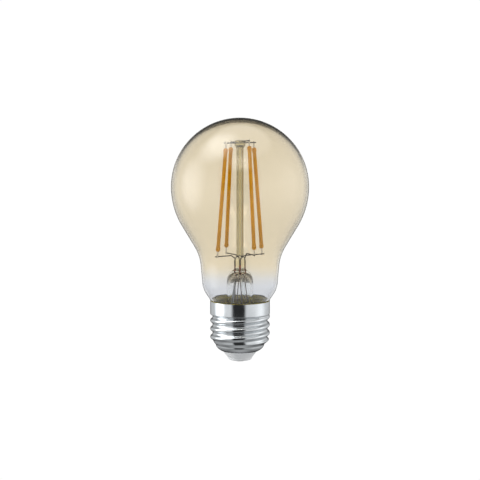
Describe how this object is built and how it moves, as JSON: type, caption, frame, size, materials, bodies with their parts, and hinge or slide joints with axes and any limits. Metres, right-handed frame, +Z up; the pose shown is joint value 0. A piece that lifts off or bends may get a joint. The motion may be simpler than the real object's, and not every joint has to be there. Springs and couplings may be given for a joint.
{
  "type": "smart light bulb",
  "caption": "Filament-style smart light bulb: clear amber pear-shaped glass with a pressed glass stem and upright filaments on a screw cap that holds the driver and wireless boards.",
  "frame": {"origin": "tip of the centre contact, on the bulb's axis, at the lowest point of the part", "axes": "+Z up the bulb's axis to the crown of the glass; -Y is the front; +X is right seen from the front"},
  "size_m": [0.06, 0.06, 0.1065],
  "materials": {
    "amber_glass": "clear amber-tinted blown glass",
    "stem_glass": "clear drawn and pressed glass",
    "seal_copper": "copper-clad sealing wire, oxidised red",
    "nickel_wire": "drawn nickel wire",
    "tinned_lead": "tinned copper wire",
    "sleeve_fibre": "woven glass-fibre sleeve",
    "carrier_ceramic": "pale ceramic strip",
    "diode_chip": "sapphire diode chip",
    "pin_metal": "plated sheet metal",
    "phosphor": "matt orange phosphor in silicone",
    "shell_nickel": "bright nickel plate",
    "insulator_plastic": "smooth white moulding",
    "contact_metal": "nickel-plated brass",
    "cement": "baked basing cement",
    "board_laminate": "white solder mask on laminate",
    "module_laminate": "green solder mask on laminate",
    "shield_metal": "tinned sheet",
    "capacitor_sleeve": "shrink sleeve",
    "ferrite": "sintered ferrite",
    "winding_copper": "enamelled copper wire",
    "film_epoxy": "dipped epoxy",
    "resistor_body": "cement-coated body",
    "ceramic_tan": "multilayer ceramic",
    "black_epoxy": "moulded epoxy package"
  },
  "bodies": {
    "root": {"antenna_wire": "tinned_lead", "basing_cement": "cement", "bridge_rectifier": "black_epoxy", "bridge_wire_front_left_to_back_right": "nickel_wire", "bridge_wire_front_right_to_back_left": "nickel_wire", "bulk_capacitor": "capacitor_sleeve", "carrier_strip_back_left": "carrier_ceramic", "carrier_strip_back_right": "carrier_ceramic", "carrier_strip_front_left": "carrier_ceramic", "carrier_strip_front_right": "carrier_ceramic", "centre_contact": "contact_metal", "chip_capacitors": "ceramic_tan", "chip_resistors": "black_epoxy", "choke_core": "ferrite", "choke_winding": "winding_copper", "dimmer_chip": "black_epoxy", "diode_chips_back_left": "diode_chip", "diode_chips_back_right": "diode_chip", "diode_chips_front_left": "diode_chip", "diode_chips_front_right": "diode_chip", "driver_board": "board_laminate", "driver_chip": "black_epoxy", "exhaust_tube": "stem_glass", "filament_pins_back_left": "pin_metal", "filament_pins_back_right": "pin_metal", "filament_pins_front_left": "pin_metal", "filament_pins_front_right": "pin_metal", "film_capacitor": "film_epoxy", "fusible_resistor": "resistor_body", "glass_envelope": "amber_glass", "insulator": "insulator_plastic", "lead_sleeve": "sleeve_fibre", "live_wire": "tinned_lead", "neutral_wire": "tinned_lead", "outer_lead_back": "tinned_lead", "outer_lead_front": "tinned_lead", "outer_lead_left": "tinned_lead", "outer_lead_right": "tinned_lead", "phosphor_coat_back_left": "phosphor", "phosphor_coat_back_right": "phosphor", "phosphor_coat_front_left": "phosphor", "phosphor_coat_front_right": "phosphor", "screw_shell": "shell_nickel", "seal_wire_back": "seal_copper", "seal_wire_front": "seal_copper", "seal_wire_left": "seal_copper", "seal_wire_right": "seal_copper", "stem_flare": "stem_glass", "stem_press": "stem_glass", "support_arm_back_left": "nickel_wire", "support_arm_back_right": "nickel_wire", "support_arm_front_left": "nickel_wire", "support_arm_front_right": "nickel_wire", "support_tube": "stem_glass", "top_button": "stem_glass", "wireless_board": "module_laminate", "wireless_chip": "black_epoxy", "wireless_crystal": "shield_metal", "wireless_shield": "shield_metal"}
  },
  "joints": []
}
